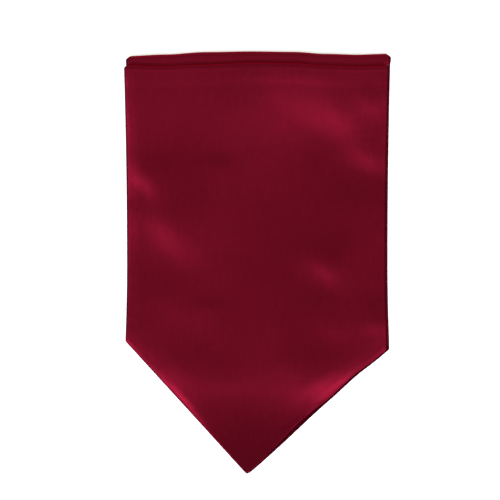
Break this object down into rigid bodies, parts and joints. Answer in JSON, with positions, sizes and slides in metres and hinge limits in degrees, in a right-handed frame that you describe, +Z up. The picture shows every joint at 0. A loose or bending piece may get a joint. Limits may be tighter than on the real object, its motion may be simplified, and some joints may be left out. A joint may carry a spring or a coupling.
{
  "type": "folded silk cravat",
  "caption": "Silk satin cravat folded flat, a wide pointed blade lying over its folded neck band and its other blade.",
  "frame": {"origin": "on the surface that the cravat lies on, under the middle of its folded outline", "axes": "+Z up from the surface to the front blade, +Y from the point to the folds, +X to the right as the blade is seen"},
  "size_m": [0.1624, 0.2579, 0.0118],
  "materials": {
    "satin_face": "satin weave, glossy",
    "satin_reverse": "satin weave, glossy",
    "satin_under": "satin weave, glossy",
    "satin_folded": "satin weave, glossy"
  },
  "bodies": {
    "root": {"blade_face": "satin_face", "blade_reverse": "satin_reverse", "under_blade": "satin_under", "neck_layers": "satin_folded"}
  },
  "joints": []
}
